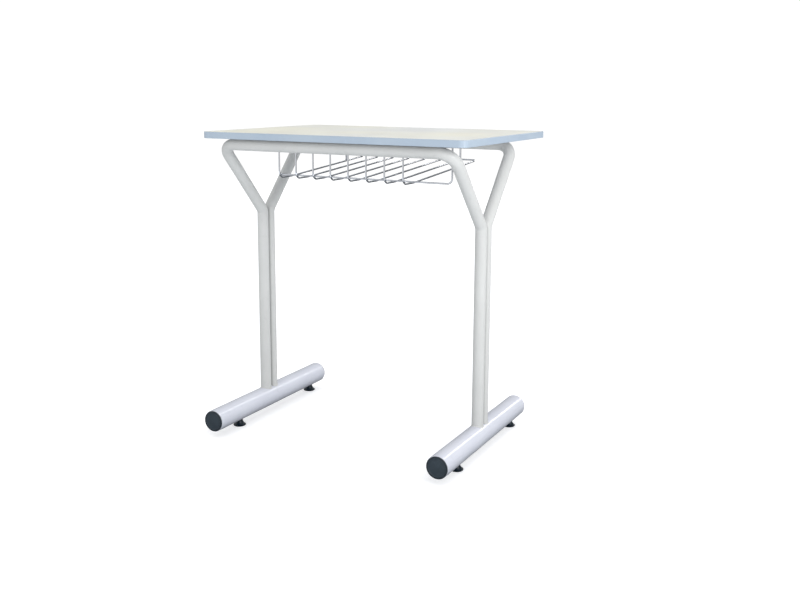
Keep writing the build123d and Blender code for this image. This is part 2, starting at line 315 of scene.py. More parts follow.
def mix_colour(tree, factor, first, second):
    """Colour between first and second."""
    return add_node(tree, "ShaderNodeMix", {0: factor, 6: first, 7: second}, data_type="RGBA").outputs[2]


def bump(tree, height, strength, distance):
    """Normal of a surface raised by height times distance."""
    return add_node(tree, "ShaderNodeBump",
                    {"Height": height, "Strength": strength, "Distance": distance}).outputs[0]


def connect(tree, shader, **sockets):
    """Link colour, roughness and normal to the shader."""
    for name, value in sockets.items():
        tree.links.new(value, shader.inputs[{"colour": "Base Color"}.get(name, name.capitalize())])


def paler(colour, share, lift=0.0):
    """Colour brightened or dimmed by share and raised by lift."""
    return tuple(min(channel * share + lift, 1.0) for channel in colour[:3]) + (1.0,)


def scuffs(tree, place, scale, start=0.60, end=0.72, stretch=None):
    """Share of wear at each place: 0 nearly all over, 1 in small scuffs."""
    return spread(tree, noise(tree, place, scale, 5.0, stretch), 0.0, 1.0, start, end)


def laminate_material(name, colour, shade, depth):
    """Pressed laminate: a fine stipple, a soft cast and faint rubbed patches."""
    material, tree, shader, place = start_material(name, colour, 0.42, specular=0.22)
    cast = spread(tree, noise(tree, place, 2.6, 1.0), 0.0, 1.0)
    speck = noise(tree, place, 2600.0, 1.0)
    even = mix_colour(tree, cast, colour, shade)
    darker = paler(shade, 0.93)
    rubbed = spread(tree, noise(tree, place, 14.0, 4.0), 0.36, 0.48)
    stipple = add_node(tree, "ShaderNodeTexVoronoi", {"Vector": place, "Scale": 1500.0},
                       feature="SMOOTH_F1").outputs["Distance"]
    connect(tree, shader,
            colour=mix_colour(tree, spread(tree, speck, 0.0, 0.45), even, darker),
            roughness=rubbed,
            normal=bump(tree, stipple, 0.5, depth))
    return material


def edge_material(colour, shade):
    """Extruded plastic edge: lines along its length, a thin glue line by the laminate, and knocks."""
    material, tree, shader, place = start_material("blue_edge_band", colour, 0.34, specular=0.5)
    drawn = noise(tree, place, 1.0, 2.0, stretch=(3.0, 3.0, 1900.0))
    patch = spread(tree, noise(tree, place, 9.0, 2.0), 0.0, 1.0)
    middle = [(low + high) / 2 for low, high in zip(TOP_LOW, TOP_HIGH)]
    half = [(high - low) / 2 for low, high in zip(TOP_LOW, TOP_HIGH)]
    parts = axes_of(tree, place)
    beyond = []
    for axis in (0, 1):
        past = calculate(tree, "SUBTRACT", distance_from(tree, parts[axis], middle[axis]),
                         half[axis] - BOARD_CORNER)
        beyond.append(calculate(tree, "MAXIMUM", past, 0.0))
    depth_in = calculate(tree, "SUBTRACT", BOARD_CORNER, diagonal(tree, *beyond))
    glue = spread(tree, depth_in, 0.0, 0.55, start=1.75 * MM, end=1.98 * MM)
    glue_colour = screen_colour(128, 140, 150)
    knock = scuffs(tree, place, 70.0)
    surface = mix_colour(tree, calculate(tree, "MULTIPLY", knock, 0.3),
                         mix_colour(tree, patch, colour, shade), paler(shade, 1.15))
    connect(tree, shader,
            colour=mix_colour(tree, glue, surface, glue_colour),
            roughness=calculate(tree, "MULTIPLY_ADD", knock, 0.12,
                                spread(tree, patch, 0.30, 0.40, 0.0, 1.0)),
            normal=bump(tree, drawn, 0.25, 0.03 * MM))
    return material


def chipboard_material():
    """Pressed wood chips."""
    colour = screen_colour(214, 184, 142)
    material, tree, shader, place = start_material("pressed_chipboard", colour, 0.8, specular=0.2)
    chip = add_node(tree, "ShaderNodeTexVoronoi", {"Vector": place, "Scale": 420.0})
    tone = add_node(tree, "ShaderNodeSeparateColor", {"Color": chip.outputs["Color"]}).outputs[0]
    connect(tree, shader,
            colour=mix_colour(tree, tone, colour, screen_colour(176, 138, 94)),
            roughness=spread(tree, tone, 0.7, 0.9, 0.0, 1.0),
            normal=bump(tree, chip.outputs["Distance"], 0.6, 0.3 * MM))
    return material


def groove_painted_shade(tree, place):
    """Share of painted shade at each place: 1 deep in the groove between a leg's two uprights, where the
    tubes shade each other, 0 outside it.
    """
    offset = distance_from(tree, axes_of(tree, place)[1], LEG_Y)
    ragged = calculate(tree, "MULTIPLY_ADD", noise(tree, place, 90.0, 3.0), 1.0 * MM, offset)
    return spread(tree, ragged, 1.0, 0.0, *GROOVE_SHADE_REACH)


def powder_material(name, colour, shade, depth, roughness, specular, coat, painted_groove_shade=0.0):
    """Powder coat: orange peel, soft patches, faint duller scuffs, and painted shade darkening the groove
    between a leg's uprights if asked.
    """
    material, tree, shader, place = start_material(name, colour, roughness, specular=specular, coat=coat)
    peel = noise(tree, place, 620.0, 1.0)
    patch = spread(tree, noise(tree, place, 11.0, 3.0), 0.0, 1.0)
    scuff = scuffs(tree, place, 75.0)
    worn = paler(shade, 0.90)
    dulled = calculate(tree, "MULTIPLY_ADD", scuff, 0.12, roughness)
    painted = mix_colour(tree, calculate(tree, "MULTIPLY", scuff, 0.35),
                         mix_colour(tree, patch, colour, shade), worn)
    # Painted shade: the paint is darkened in the groove between a leg's two uprights, where the tubes shade
    # each other
    if painted_groove_shade:
        painted = mix_colour(tree, calculate(tree, "MULTIPLY", groove_painted_shade(tree, place), painted_groove_shade),
                             painted, paler(shade, 0.5))
    connect(tree, shader,
            colour=painted,
            roughness=calculate(tree, "MULTIPLY_ADD", patch, 0.05, dulled),
            normal=bump(tree, peel, 0.35, depth))
    return material


def plated_material(name, colour, roughness, lines):
    """Plated steel: fine lines left by drawing, small clouds and handling marks."""
    material, tree, shader, place = start_material(name, colour, roughness, metallic=1.0)
    cloud = spread(tree, noise(tree, place, 40.0, 4.0), 0.0, 1.0)
    drawn = noise(tree, place, lines, 3.0)
    darker = paler(colour, 0.86)
    connect(tree, shader,
            colour=mix_colour(tree, calculate(tree, "MULTIPLY", cloud, 0.5), colour, darker),
            roughness=calculate(tree, "MULTIPLY_ADD", cloud, roughness * 0.6, roughness * 0.7),
            normal=bump(tree, drawn, 0.15, 0.02 * MM))
    return material


def moulded_material(name, colour, depth, roughness):
    """Moulded plastic: a fine eroded grain and light scratches."""
    material, tree, shader, place = start_material(name, colour, roughness, specular=0.35)
    grain = noise(tree, place, 2400.0, 2.0)
    scratch = scuffs(tree, place, 90.0, 0.58, 0.70, stretch=(1.0, 1.0, 5.0))
    connect(tree, shader,
            colour=mix_colour(tree, calculate(tree, "MULTIPLY", scratch, 0.4),
                              colour, paler(colour, 1.7, 0.01)),
            roughness=calculate(tree, "MULTIPLY_ADD", scratch, 0.15, roughness),
            normal=bump(tree, grain, 0.4, depth))
    return material


def cap_material(colour, depth):
    """End cap: a matt dished face inside a slightly darker, smoother ring, with light scuffs."""
    material, tree, shader, place = start_material("slate_end_cap", colour, 0.5, specular=0.4)
    parts = axes_of(tree, place)
    across = calculate(tree, "SUBTRACT", calculate(tree, "ABSOLUTE", parts[0]), LEG_X)
    above = calculate(tree, "SUBTRACT", parts[2], FOOT_Z)
    ring = spread(tree, diagonal(tree, across, above), 0.0, 1.0,
                  start=CAP_DISH_RADIUS, end=CAP_DISH_RADIUS + 1.5 * MM)
    grain = noise(tree, place, 2000.0, 2.0)
    cloud = noise(tree, place, 60.0, 3.0)
    scuff = scuffs(tree, place, 110.0)
    face = mix_colour(tree, spread(tree, cloud, 0.0, 1.0), colour, paler(colour, 1.15))
    moulded = mix_colour(tree, ring, face, paler(colour, 0.70))
    connect(tree, shader,
            colour=mix_colour(tree, calculate(tree, "MULTIPLY", scuff, 0.35),
                              moulded, paler(colour, 1.6, 0.01)),
            roughness=calculate(tree, "MULTIPLY_ADD", scuff, 0.1,
                                spread(tree, ring, 0.55, 0.38, 0.0, 1.0)),
            normal=bump(tree, grain, 0.45, depth))
    return material


def give(material, *nodes):
    """Give CAD nodes a better material."""
    for name in nodes:
        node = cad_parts[name]
        node.data.materials.clear()
        node.data.materials.append(material)


def shared(material_name, make):
    """The material of that name, made once."""
    return bpy.data.materials.get(material_name) or make()


def hoop_paint(steel):
    """Powder coat of the hoops, their tabs and their welds, with painted shade in the groove between a leg's
    uprights.
    """
    # The last argument darkens the paint in the groove between the uprights and on the crotch beads there:
    # painted shade
    return shared("hoop_powder_coat", lambda: powder_material(
        "hoop_powder_coat", steel.hoop[:], steel.hoop_shade[:], steel.peel, 0.42, 0.30, 0.0, painted_groove_shade=0.75))


def foot_paint(steel):
    """Powder coat of the feet."""
    return shared("foot_powder_coat", lambda: powder_material(
        "foot_powder_coat", steel.foot[:], steel.foot_shade[:], steel.peel, 0.50, 0.4, 0.65))


def basket_plating(steel):
    """Chrome of the basket's wires, tabs and spot welds."""
    return shared("basket_chrome_plating", lambda: plated_material(
        "basket_chrome_plating", steel.chrome[:], 0.07, 900.0))


def zinc_plating(steel):
    """Zinc of the screws, studs and nuts."""
    return shared("zinc_plating", lambda: plated_material("zinc_plating", steel.zinc[:], 0.32, 2200.0))


# Meshes grown by geometry nodes
SOCKET_KINDS = {int: "NodeSocketInt", float: "NodeSocketFloat",
                bpy.types.Object: "NodeSocketObject", bpy.types.Material: "NodeSocketMaterial"}


def start_tree(name, values):
    """Start a geometry tree with one named input for each value."""
    tree = bpy.data.node_groups.new(name, "GeometryNodeTree")
    tree.interface.new_socket("Geometry", in_out="INPUT", socket_type="NodeSocketGeometry")
    for label, value in values.items():
        socket = tree.interface.new_socket(label, in_out="INPUT", socket_type=SOCKET_KINDS[type(value)])
        if isinstance(value, (int, float)):
            socket.default_value = value
    tree.interface.new_socket("Geometry", in_out="OUTPUT", socket_type="NodeSocketGeometry")
    return tree, tree.nodes.new("NodeGroupInput").outputs


def end_tree(tree, geometry, given):
    """End a tree in smooth faces, Realize Instances and Set Material."""
    smooth = add_node(tree, "GeometryNodeSetShadeSmooth", {"Geometry": geometry})
    real = add_node(tree, "GeometryNodeRealizeInstances", {"Geometry": smooth.outputs[0]})
    finished = add_node(tree, "GeometryNodeSetMaterial",
                        {"Geometry": real.outputs[0], "Material": given["Finish"]})
    tree.links.new(finished.outputs[0], tree.nodes.new("NodeGroupOutput").inputs[0])
    return tree


def bead_tree(values):
    """Rippled bead along each path: a round profile that swells and shrinks along it."""
    tree, given = start_tree("weld_bead", values)
    path = add_node(tree, "GeometryNodeMeshToCurve", {"Mesh": given["Geometry"]})
    fine = add_node(tree, "GeometryNodeResampleCurve", {"Curve": path.outputs[0], "Length": given["Step"]},
                    mode="LENGTH")
    along = add_node(tree, "GeometryNodeSplineParameter").outputs
    turns = calculate(tree, "DIVIDE", along["Length"], given["Ripple pitch"])
    wave = calculate(tree, "SINE", calculate(tree, "MULTIPLY", turns, 2 * pi))
    uneven = add_node(tree, "ShaderNodeTexNoise", {"Scale": 260.0, "W": 3.0},
                      noise_dimensions="4D").outputs[0]
    swell = calculate(tree, "MULTIPLY_ADD", wave, given["Ripple depth"],
                      calculate(tree, "MULTIPLY_ADD", uneven, 0.2, 0.90))
    near_end = calculate(tree, "MINIMUM", along["Factor"], calculate(tree, "SUBTRACT", 1.0, along["Factor"]))
    taper = spread(tree, near_end, 0.55, 1.0, 0.0, 0.03)
    profile = add_node(tree, "GeometryNodeCurvePrimitiveCircle",
                       {"Resolution": 12, "Radius": given["Bead radius"]})
    bead = add_node(tree, "GeometryNodeCurveToMesh",
                    {"Curve": fine.outputs[0], "Profile Curve": profile.outputs[0],
                     "Scale": calculate(tree, "MULTIPLY", swell, taper), "Fill Caps": True})
    return end_tree(tree, bead.outputs[0], given)


def facing_rotation(tree):
    """Rotation that points an instance's Z along the point's stored facing."""
    facing = add_node(tree, "GeometryNodeInputNamedAttribute", {"Name": "facing"},
                      data_type="FLOAT_VECTOR")
    return add_node(tree, "FunctionNodeAlignRotationToVector", {"Vector": facing.outputs[0]},
                    axis="Z").outputs[0]


def nugget_tree(values):
    """Flattened spot weld at each point, each of a slightly different size."""
    tree, given = start_tree("spot_weld", values)
    lump = add_node(tree, "GeometryNodeMeshUVSphere", {"Segments": 12, "Rings": 8, "Radius": 1.0})
    vary = add_node(tree, "FunctionNodeRandomValue", {2: 0.88, 3: 1.12, "Seed": given["Seed"]},
                    data_type="FLOAT").outputs[1]
    width = calculate(tree, "MULTIPLY", given["Nugget radius"], vary)
    size = add_node(tree, "ShaderNodeCombineXYZ", {"X": width, "Y": width, "Z": given["Nugget height"]})
    placed = add_node(tree, "GeometryNodeInstanceOnPoints",
                      {"Points": given["Geometry"], "Instance": lump.outputs[0],
                       "Rotation": facing_rotation(tree), "Scale": size.outputs[0]})
    return end_tree(tree, placed.outputs[0], given)


def screw_tree(values):
    """The pattern screw at each point, each turned by its own angle."""
    tree, given = start_tree("driven_screw", values)
    pattern = add_node(tree, "GeometryNodeObjectInfo", {"Object": given["Pattern"]})
    placed = add_node(tree, "GeometryNodeInstanceOnPoints",
                      {"Points": given["Geometry"], "Instance": pattern.outputs["Geometry"],
                       "Rotation": facing_rotation(tree)})
    turn = add_node(tree, "FunctionNodeRandomValue", {2: 0.0, 3: pi, "Seed": given["Seed"]},
                    data_type="FLOAT").outputs[1]
    angles = add_node(tree, "ShaderNodeCombineXYZ", {"Z": turn})
    turned = add_node(tree, "GeometryNodeRotateInstances",
                      {"Instances": placed.outputs[0], "Rotation": angles.outputs[0]})
    return end_tree(tree, turned.outputs[0], given)


def stud_tree(values):
    """Threaded stud on each point: a core and a ridge wound round it."""
    tree, given = start_tree("threaded_stud", values)
    radius, length, pitch = given["Stud radius"], given["Stud length"], given["Thread pitch"]
    ridge_radius = calculate(tree, "SUBTRACT", radius, given["Ridge radius"])
    wound = calculate(tree, "SUBTRACT", length, calculate(tree, "MULTIPLY", pitch, 2.0))
    coil = add_node(tree, "GeometryNodeCurveSpiral",
                    {"Resolution": 24, "Rotations": calculate(tree, "DIVIDE", wound, pitch),
                     "Start Radius": ridge_radius, "End Radius": ridge_radius, "Height": wound})
    upright = add_node(tree, "GeometryNodeSetCurveNormal", {"Curve": coil.outputs[0]}, mode="Z_UP")
    profile = add_node(tree, "GeometryNodeCurvePrimitiveCircle",
                       {"Resolution": 4, "Radius": given["Ridge radius"]})
    ridge = add_node(tree, "GeometryNodeCurveToMesh",
                     {"Curve": upright.outputs[0], "Profile Curve": profile.outputs[0], "Fill Caps": True})
    core = add_node(tree, "GeometryNodeMeshCylinder",
                    {"Vertices": 40, "Depth": length,
                     "Radius": calculate(tree, "SUBTRACT", radius, given["Thread depth"])})
    both = add_node(tree, "GeometryNodeJoinGeometry")
    for part, height in ((ridge, pitch), (core, calculate(tree, "MULTIPLY", length, 0.5))):
        lift = add_node(tree, "ShaderNodeCombineXYZ", {"Z": height})
        raised = add_node(tree, "GeometryNodeTransform",
                          {"Geometry": part.outputs[0], "Translation": lift.outputs[0]})
        tree.links.new(raised.outputs[0], both.inputs[0])
    placed = add_node(tree, "GeometryNodeInstanceOnPoints",
                      {"Points": given["Geometry"], "Instance": both.outputs[0]})
    return end_tree(tree, placed.outputs[0], given)


def host_of(name, points, edges=(), facings=None):
    """Bare points, or paths of edges, for a geometry tree to work on."""
    mesh = bpy.data.meshes.new(name)
    mesh.from_pydata([tuple(point) for point in points], list(edges), [])
    if facings:
        stored = mesh.attributes.new("facing", "FLOAT_VECTOR", "POINT")
        for entry, facing in zip(stored.data, facings):
            entry.vector = facing
    host = bpy.data.objects.new(name, mesh)
    bpy.context.scene.collection.objects.link(host)
    return host


def grow(name, host, make_tree, values):
    """Run a geometry tree with these values on its host and keep the result as a plain mesh."""
    modifier = host.modifiers.new(name, "NODES")
    modifier.node_group = make_tree(values)
    for socket in modifier.node_group.interface.items_tree:
        if socket.in_out == "INPUT" and socket.name in values:
            modifier[socket.identifier] = values[socket.name]
    depsgraph = bpy.context.evaluated_depsgraph_get()
    mesh = bpy.data.meshes.new_from_object(host.evaluated_get(depsgraph), depsgraph=depsgraph)
    mesh.name = name
    host.modifiers.remove(modifier)
    bpy.data.objects.remove(host)
    if not mesh.polygons:
        raise RuntimeError(f"{name} came out without faces")
    piece = bpy.data.objects.new(name, mesh)
    bpy.context.scene.collection.objects.link(piece)
    return piece


def chains_to_edges(chains):
    """Points and edges of several open paths."""
    points, edges = [], []
    for chain in chains:
        start = len(points)
        points += chain
        edges += [(start + i, start + i + 1) for i in range(len(chain) - 1)]
    return points, edges


# Paths of the welds
def saddle_path(x, direction, bead):
    """Path of the bead round an upright's outer side, where it sits on the foot."""
    ring = TUBE_RADIUS + 0.05 * bead
    path = []
    for step in range(SADDLE_STEPS + 1):
        angle = SADDLE_OPENING * (2 * step / SADDLE_STEPS - 1)
        across = ring * sin(angle)
        along = UPRIGHT_Y[direction] + direction * ring * cos(angle)
        height = FOOT_Z + sqrt((FOOT_RADIUS + 0.05 * bead) ** 2 - across ** 2)
        path.append(Vector((x + across, along, height)))
    return path


def crotch_path(x, side, bead):
    """Path of the short bead in the groove, under the fork, on one side of a leg."""
    across = x + side * 0.45 * bead
    return [Vector((across, LEG_Y, FORK_Z + height * MM)) for height in (-1, 2, 5, 8)]


def tab_path(x, direction, bead):
    """Path of the bead where a hoop's tab meets its beam, seen from below."""
    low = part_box("back_hoop_tabs")[0].z
    drop = low - BEAM_Z
    flank = BEAM_Y[direction] - direction * sqrt(TUBE_RADIUS ** 2 - drop ** 2)
    half = HOOP_TAB_HALF - 4 * MM
    return [Vector((x + share * half, flank - direction * 0.2 * bead, low - 0.1 * bead))
            for share in (-1, -0.33, 0.33, 1)]


class SCHOOL_DESK_OT_finish_board(bpy.types.Operator):
    """Finish the writing surface, the edge band, the core and the backing"""

    bl_idname = "school_desk.finish_board"
    bl_label = "Finish Board"

    def execute(self, context):
        board = context.scene.school_desk.board
        give(laminate_material("pressed_cream_laminate", board.laminate[:], board.laminate_shade[:],
                               board.stipple), "top_laminate")
        give(laminate_material("grey_backing", board.backing[:], board.backing[:], board.stipple),
             "underside_laminate")
        give(edge_material(board.edge[:], board.edge_shade[:]), "edge_band")
        give(chipboard_material(), "top_core")
        return {"FINISHED"}


class SCHOOL_DESK_OT_finish_hoops(bpy.types.Operator):
    """Paint the two hoops and their tabs"""

    bl_idname = "school_desk.finish_hoops"
    bl_label = "Paint Hoops"

    def execute(self, context):
        give(hoop_paint(context.scene.school_desk.steel), "back_hoop", "front_hoop",
             "back_hoop_tabs", "front_hoop_tabs")
        return {"FINISHED"}


class SCHOOL_DESK_OT_finish_feet(bpy.types.Operator):
    """Paint the two feet"""

    bl_idname = "school_desk.finish_feet"
    bl_label = "Paint Feet"

    def execute(self, context):
        give(foot_paint(context.scene.school_desk.steel), "left_foot", "right_foot")
        return {"FINISHED"}


class SCHOOL_DESK_OT_finish_caps(bpy.types.Operator):
    """Finish the four end caps"""

    bl_idname = "school_desk.finish_caps"
    bl_label = "Finish Caps"

    def execute(self, context):
        plastic = context.scene.school_desk.plastic
        give(cap_material(plastic.cap[:], plastic.grain), *CAPS)
        return {"FINISHED"}


class SCHOOL_DESK_OT_finish_glides(bpy.types.Operator):
    """Finish the four glide bases"""

    bl_idname = "school_desk.finish_glides"
    bl_label = "Finish Glides"

    def execute(self, context):
        plastic = context.scene.school_desk.plastic
        give(moulded_material("black_glide_plastic", plastic.glide[:], plastic.grain, 0.34),
             *[f"{glide}_base" for glide in GLIDES])
        return {"FINISHED"}


class SCHOOL_DESK_OT_finish_basket(bpy.types.Operator):
    """Plate the basket's wires and tabs"""

    bl_idname = "school_desk.finish_basket"
    bl_label = "Plate Basket"

    def execute(self, context):
        give(basket_plating(context.scene.school_desk.steel), *CROSS_WIRES, "basket_back_wire",
             "basket_front_wire", "basket_rim_wire", "basket_back_tabs", "basket_front_hangers")
        return {"FINISHED"}


class SCHOOL_DESK_OT_weld_frame(bpy.types.Operator):
    """Lay the beads that hold the hoops on the feet, to each other and to their tabs"""

    bl_idname = "school_desk.weld_frame"
    bl_label = "Weld Frame"

    def execute(self, context):
        weld = context.scene.school_desk.weld
        radius = weld.bead_radius
        tab_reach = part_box("back_hoop_tabs")[1].x - HOOP_TAB_HALF
        chains = [saddle_path(x, direction, radius) for x in (-LEG_X, LEG_X) for direction in (-1, 1)]
        chains += [crotch_path(x, side, radius) for x in (-LEG_X, LEG_X) for side in (-1, 1)]
        chains += [tab_path(x, direction, radius)
                   for x in (-tab_reach, 0.0, tab_reach) for direction in (-1, 1)]
        points, edges = chains_to_edges(chains)
        values = {"Bead radius": radius, "Ripple pitch": weld.ripple_pitch,
                  "Ripple depth": weld.ripple_depth, "Step": weld.ripple_pitch / 8,
                  "Finish": hoop_paint(context.scene.school_desk.steel)}
        piece = grow("frame_weld_beads", host_of("weld_paths", points, edges), bead_tree, values)
        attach(piece, "desk")
        return {"FINISHED"}


class SCHOOL_DESK_OT_weld_basket(bpy.types.Operator):
    """Set the spot welds where the basket's wires cross or meet"""

    bl_idname = "school_desk.weld_basket"
    bl_label = "Weld Basket"

    def execute(self, context):
        weld = context.scene.school_desk.weld
        points, facings = [], []

        def set_weld(place, facing):
            points.append(Vector(place))
            facings.append(Vector(facing).normalized())

        rim_z = middle_of("basket_rim_wire")[2]
        back_y = middle_of("basket_back_wire")[1]
        back_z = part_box("basket_back_wire")[0].z + WIRE_RADIUS
        _, front_y, front_z = middle_of("basket_front_wire")
        for name in CROSS_WIRES:
            x = middle_of(name)[0]
            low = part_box(name)[0]
            set_weld((x, low.y + 2 * WIRE_RADIUS, rim_z), (0, 1, 0))
            crossing = Vector((x, back_y, back_z))
            centre = Vector((x, low.y + WIRE_RADIUS + WIRE_BEND, low.z + WIRE_RADIUS + WIRE_BEND))
            inward = (centre - crossing).normalized()
            set_weld(crossing - inward * WIRE_RADIUS, inward)
            set_weld((x, front_y, front_z - WIRE_RADIUS), (0, -0.075, 1))
        rim_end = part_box("basket_rim_wire")[1].x
        set_weld((rim_end - 0.5 * MM, back_y - WIRE_RADIUS, rim_z), (0, 1, 0))
        hanger_low, hanger_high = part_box("basket_front_hangers")
        hanger_y = middle_of("basket_front_hangers")[1]
        for x in (hanger_low.x + HANGER_RADIUS, hanger_high.x - HANGER_RADIUS):
            for end in (-1, 1):
                set_weld((x, hanger_y + end * 2.4 * MM, hanger_low.z + 1.6 * MM), (0, end, 0.2))
        values = {"Nugget radius": weld.nugget_radius, "Nugget height": weld.nugget_height, "Seed": 4,
                  "Finish": basket_plating(context.scene.school_desk.steel)}
        piece = grow("basket_spot_welds", host_of("spot_weld_points", points, facings=facings),
                     nugget_tree, values)
        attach(piece, "desk")
        return {"FINISHED"}


def mesh_of(shape, name):
    """Keep a built shape as a mesh whose faces all point outward."""
    bmesh.ops.recalc_face_normals(shape, faces=shape.faces)
    mesh = bpy.data.meshes.new(name)
    shape.to_mesh(mesh)
    shape.free()
    return mesh


def pan_head(sizes):
    """Domed pan head with the start of its shank; its seat is at Z 0 and its face points to +Z."""
    radius = sizes.head_diameter / 2
    height = sizes.head_height
    outline = [(0.0, height)]
    bends = 8
    flat = radius * 0.45
    for step in range(bends + 1):
        angle = pi / 2 * (1 - step / bends)
        outline.append((flat + (radius - flat) * cos(angle), height * 0.25 + height * 0.75 * sin(angle)))
    outline += [(radius, 0.0), (SHANK_RADIUS, 0.0), (SHANK_RADIUS, -SHANK_LENGTH), (0.0, -SHANK_LENGTH)]
    head = bmesh.new()
    spokes = 40
    rings = []
    for across, up in outline:
        if across == 0.0:
            rings.append([head.verts.new((0, 0, up))])
            continue
        turns = [2 * pi * i / spokes for i in range(spokes)]
        rings.append([head.verts.new((across * cos(turn), across * sin(turn), up)) for turn in turns])
    for upper, lower in zip(rings, rings[1:]):
        for i in range(spokes):
            following = (i + 1) % spokes
            corners = [upper[i % len(upper)], lower[i % len(lower)],
                       lower[following % len(lower)], upper[following % len(upper)]]
            head.faces.new(list(dict.fromkeys(corners)))
    return mesh_of(head, "screw_head")


def recess_cutter(sizes):
    """Two crossed slots that taper downward into the head."""
    cutter = bmesh.new()
    top, bottom = sizes.head_height + 0.5 * MM, sizes.head_height - sizes.recess_depth
    for turn in (0, 1):
        corners = []
        for z, length, width in ((bottom, sizes.recess_length * 0.30, sizes.recess_width * 0.8),
                                 (top, sizes.recess_length * 1.1, sizes.recess_width)):
            for x, y in ((-length, -width), (length, -width), (length, width), (-length, width)):
                spot = Vector((x / 2, y / 2, z))
                corners.append(cutter.verts.new(Matrix.Rotation(turn * pi / 2, 3, "Z") @ spot))
        for quad in ((3, 2, 1, 0), (4, 5, 6, 7), (0, 1, 5, 4), (1, 2, 6, 5), (2, 3, 7, 6), (3, 0, 4, 7)):
            cutter.faces.new([corners[i] for i in quad])
    return mesh_of(cutter, "recess_cutter")


def turned_head(sizes):
    """Pattern screw: the pan head with the cross recess cut into it."""
    pattern = bpy.data.objects.new("screw_pattern", pan_head(sizes))
    tool = bpy.data.objects.new("recess_tool", recess_cutter(sizes))
    for thing in (pattern, tool):
        bpy.context.scene.collection.objects.link(thing)
    cut = pattern.modifiers.new("recess", "BOOLEAN")
    cut.operation = "DIFFERENCE"
    cut.solver = "EXACT"
    cut.use_self = True
    cut.object = tool
    depsgraph = bpy.context.evaluated_depsgraph_get()
    cut_mesh = bpy.data.meshes.new_from_object(pattern.evaluated_get(depsgraph), depsgraph=depsgraph)
    pattern.modifiers.remove(cut)
    pattern.data = cut_mesh
    bpy.data.objects.remove(tool)
    for face in cut_mesh.polygons:
        face.use_smooth = True
    cut_mesh.set_sharp_from_angle(angle=radians(35))
    return pattern


def screw_seats(node):
    """Seat of each separate screw in a CAD node: its middle, at the underside of what it holds."""
    groups = []
    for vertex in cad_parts[node].data.vertices:
        spot = vertex.co
        for group in groups:
            if max(abs(group[0].x - spot.x), abs(group[0].y - spot.y)) < SCREW_REACH:
                group.append(spot)
                break
        else:
            groups.append([spot])
    seats = []
    for group in groups:
        x = (min(v.x for v in group) + max(v.x for v in group)) / 2
        y = (min(v.y for v in group) + max(v.y for v in group)) / 2
        seats.append(Vector((x, y, min(v.z for v in group))))
    return seats


class SCHOOL_DESK_OT_drive_screws(bpy.types.Operator):
    """Set a pan-head screw with a cross recess in place of each plain one"""

    bl_idname = "school_desk.drive_screws"
    bl_label = "Drive Screws"

    def execute(self, context):
        sizes = context.scene.school_desk.fastening
        pattern = turned_head(sizes)
        for name, node in (("top_pan_screws", "top_screws"), ("basket_pan_screws", "basket_screws")):
            seats = [seat + Vector((0, 0, sizes.head_height)) for seat in screw_seats(node)]
            facings = [Vector((0, 0, -1))] * len(seats)
            values = {"Pattern": pattern, "Seed": 7,
                      "Finish": zinc_plating(context.scene.school_desk.steel)}
            piece = grow(name, host_of("screw_points", seats, facings=facings), screw_tree, values)
            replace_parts(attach(piece, "desk"), node)
        bpy.data.objects.remove(pattern)
        return {"FINISHED"}


class SCHOOL_DESK_OT_thread_studs(bpy.types.Operator):
    """Thread the four glide studs and plate them and their nuts"""

    bl_idname = "school_desk.thread_studs"
    bl_label = "Thread Studs"

    def execute(self, context):
        sizes = context.scene.school_desk.fastening
        plating = zinc_plating(context.scene.school_desk.steel)
        for glide in GLIDES:
            low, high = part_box(f"{glide}_stud")
            x, y, _ = middle_of(f"{glide}_stud")
            values = {"Stud radius": (high.x - low.x) / 2, "Stud length": high.z - low.z,
                      "Thread pitch": sizes.thread_pitch, "Thread depth": sizes.thread_depth,
                      "Ridge radius": sizes.thread_pitch / 2 * 0.96, "Finish": plating}
            piece = grow(f"{glide}_threaded_stud", host_of("stud_foot", [(x, y, low.z)]), stud_tree, values)
            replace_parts(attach(piece, glide), f"{glide}_stud")
        give(plating, *[f"{glide}_nut" for glide in GLIDES])
        return {"FINISHED"}


def soft_light(name, place, target, size, reach, power):
    """Rectangular light of that size and power, pointing at target and spreading by reach degrees."""
    light = bpy.data.lights.new(name, "AREA")
    light.shape = "RECTANGLE"
    light.size, light.size_y = size
    light.energy = power
    light.spread = radians(reach)
    lamp = bpy.data.objects.new(name, light)
    bpy.context.scene.collection.objects.link(lamp)
    lamp.location = place
    lamp.rotation_euler = (Vector(target) - lamp.location).to_track_quat("-Z", "Y").to_euler()


def surround(stage):
    """White surround, slightly brighter overhead; gloss shows a darker wall on the pupil's side."""
    world = bpy.data.worlds.new("studio_surround")
    world.use_nodes = True
    tree = world.node_tree
    direction = add_node(tree, "ShaderNodeTexCoord").outputs["Generated"]
    parts = axes_of(tree, direction)
    height = calculate(tree, "ABSOLUTE", parts[2])
    even = spread(tree, height, stage.horizon, stage.zenith, 0.0, 1.0)
    paths = add_node(tree, "ShaderNodeLightPath").outputs
    wall = spread(tree, parts[1], 1.0, stage.wall, 0.05, 0.45)
    shown = add_node(tree, "ShaderNodeMix", {0: paths["Is Glossy Ray"], 2: 1.0, 3: wall}).outputs[0]
    level = calculate(tree, "MULTIPLY", even, shown)
    glow = tree.nodes["Background"]
    glow.inputs["Color"].default_value = (1.0, 1.0, 1.0, 1.0)
    tree.links.new(level, glow.inputs["Strength"])
    backdrop = add_node(tree, "ShaderNodeBackground",
                        {"Color": (1.0, 1.0, 1.0, 1.0), "Strength": BACKDROP})
    both = add_node(tree, "ShaderNodeMixShader",
                    {0: paths["Is Camera Ray"], 1: glow.outputs[0], 2: backdrop.outputs[0]})
    tree.links.new(both.outputs[0], tree.nodes["World Output"].inputs[0])
    bpy.context.scene.world = world


